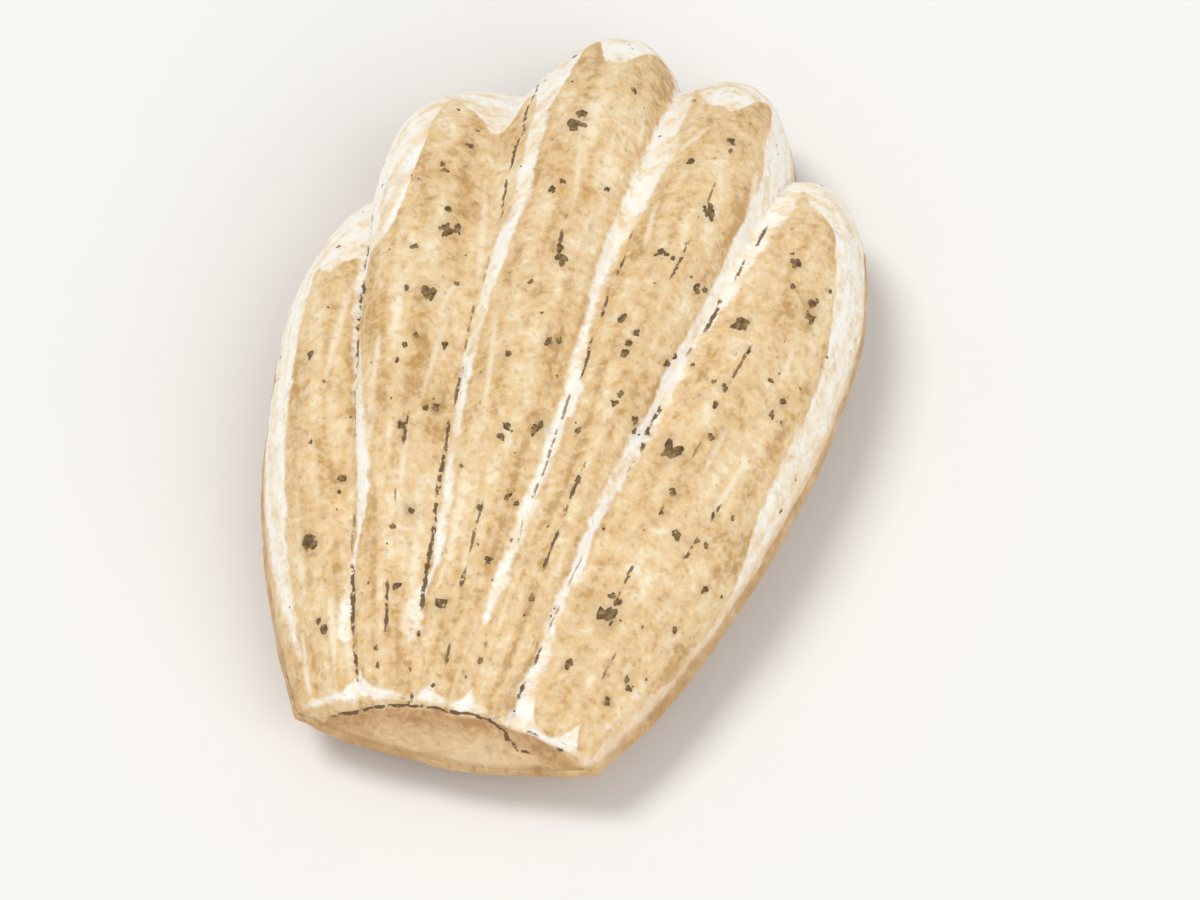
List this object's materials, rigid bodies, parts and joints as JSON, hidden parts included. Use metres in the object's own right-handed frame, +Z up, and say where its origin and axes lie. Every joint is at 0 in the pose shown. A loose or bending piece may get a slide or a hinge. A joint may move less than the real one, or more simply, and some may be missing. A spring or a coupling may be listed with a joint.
{
  "type": "madeleine cake",
  "caption": "Small shell-shaped sponge cake with a fluted, tea-flecked top, a scalloped wide end, a flat narrow end and a humped back, lying fluted side up.",
  "frame": {"origin": "under the middle of the cake's outline, on the surface that it lies on", "axes": "+Y along the cake from the flat narrow end to the scalloped wide end, +X to the right with the fluted side up, +Z up out of the fluted side"},
  "size_m": [0.0512, 0.0752, 0.021],
  "materials": {
    "crust": "baked golden sponge crust, matte with a slight buttery sheen, paler in the grooves and at the rim",
    "tea_flecks": "flakes of dark tea leaf baked into the crust, matte"
  },
  "bodies": {
    "root": {"madeleine": "crust"}
  },
  "joints": []
}
